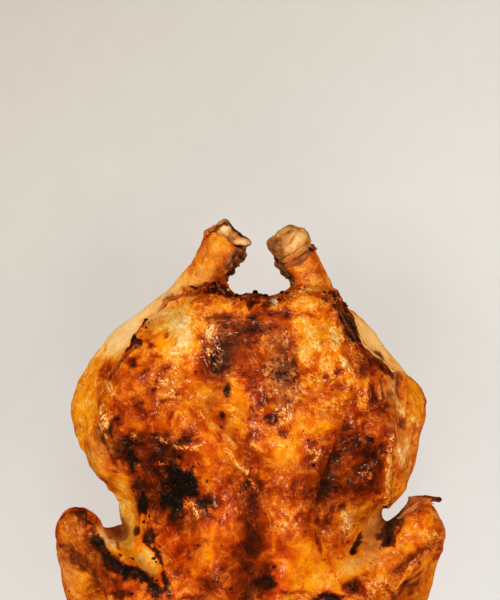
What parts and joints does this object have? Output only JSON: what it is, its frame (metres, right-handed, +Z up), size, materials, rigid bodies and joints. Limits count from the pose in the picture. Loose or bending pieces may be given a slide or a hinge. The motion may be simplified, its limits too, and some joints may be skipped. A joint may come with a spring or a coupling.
{
  "type": "whole grilled chicken",
  "caption": "Whole charcoal-grilled chicken lying on its breast, back up, with bare drumstick knuckles, folded wings and an open vent.",
  "frame": {"origin": "middle of the underside of the whole bird's box, on the surface it lies on", "axes": "+Z up through the back, +Y towards the tail and the drumstick ends, -Y towards the neck, +X to the right when seen from above with the tail at the top"},
  "size_m": [0.1914, 0.2268, 0.0957],
  "materials": {
    "roasted_skin": "grilled chicken skin, orange-brown to golden with char, wet with fat",
    "bone": "cooked bone end with cartilage, pale beige, satin"
  },
  "bodies": {
    "root": {"chicken": "roasted_skin", "shin_bone_left": "bone", "shin_bone_right": "bone"}
  },
  "joints": []
}
